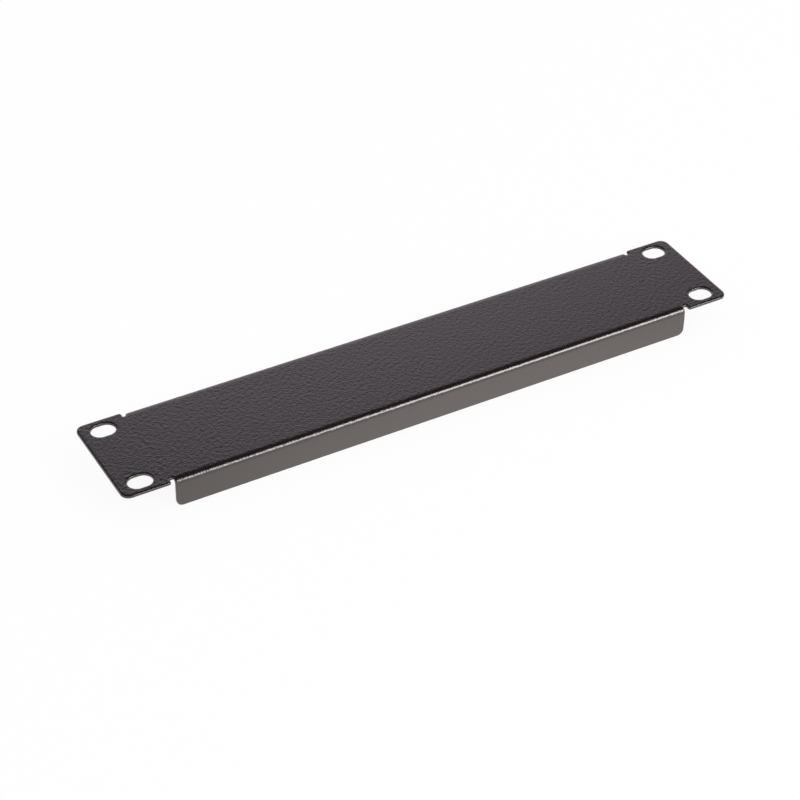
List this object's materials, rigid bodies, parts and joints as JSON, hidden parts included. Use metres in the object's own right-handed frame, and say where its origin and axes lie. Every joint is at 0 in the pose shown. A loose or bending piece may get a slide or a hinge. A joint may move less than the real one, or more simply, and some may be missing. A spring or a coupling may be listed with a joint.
{
  "type": "rack blanking panel",
  "caption": "Folded sheet-metal blanking panel for a half-width rack: flat face, slotted ears, rearward flanges on both long sides and bend-relief notches, powder coated black.",
  "frame": {"origin": "centre of the screw slots on the seat plane, the rear face of the ears, where the panel meets the rack rails", "axes": "+X along the panel's length, +Y across it from flange to flange, +Z out of the front face"},
  "size_m": [0.254, 0.0436, 0.012],
  "materials": {
    "powder_coat": "semi-matt black powder coat with a fine leathery texture"
  },
  "bodies": {
    "root": {"blanking_panel": "powder_coat"}
  },
  "joints": []
}
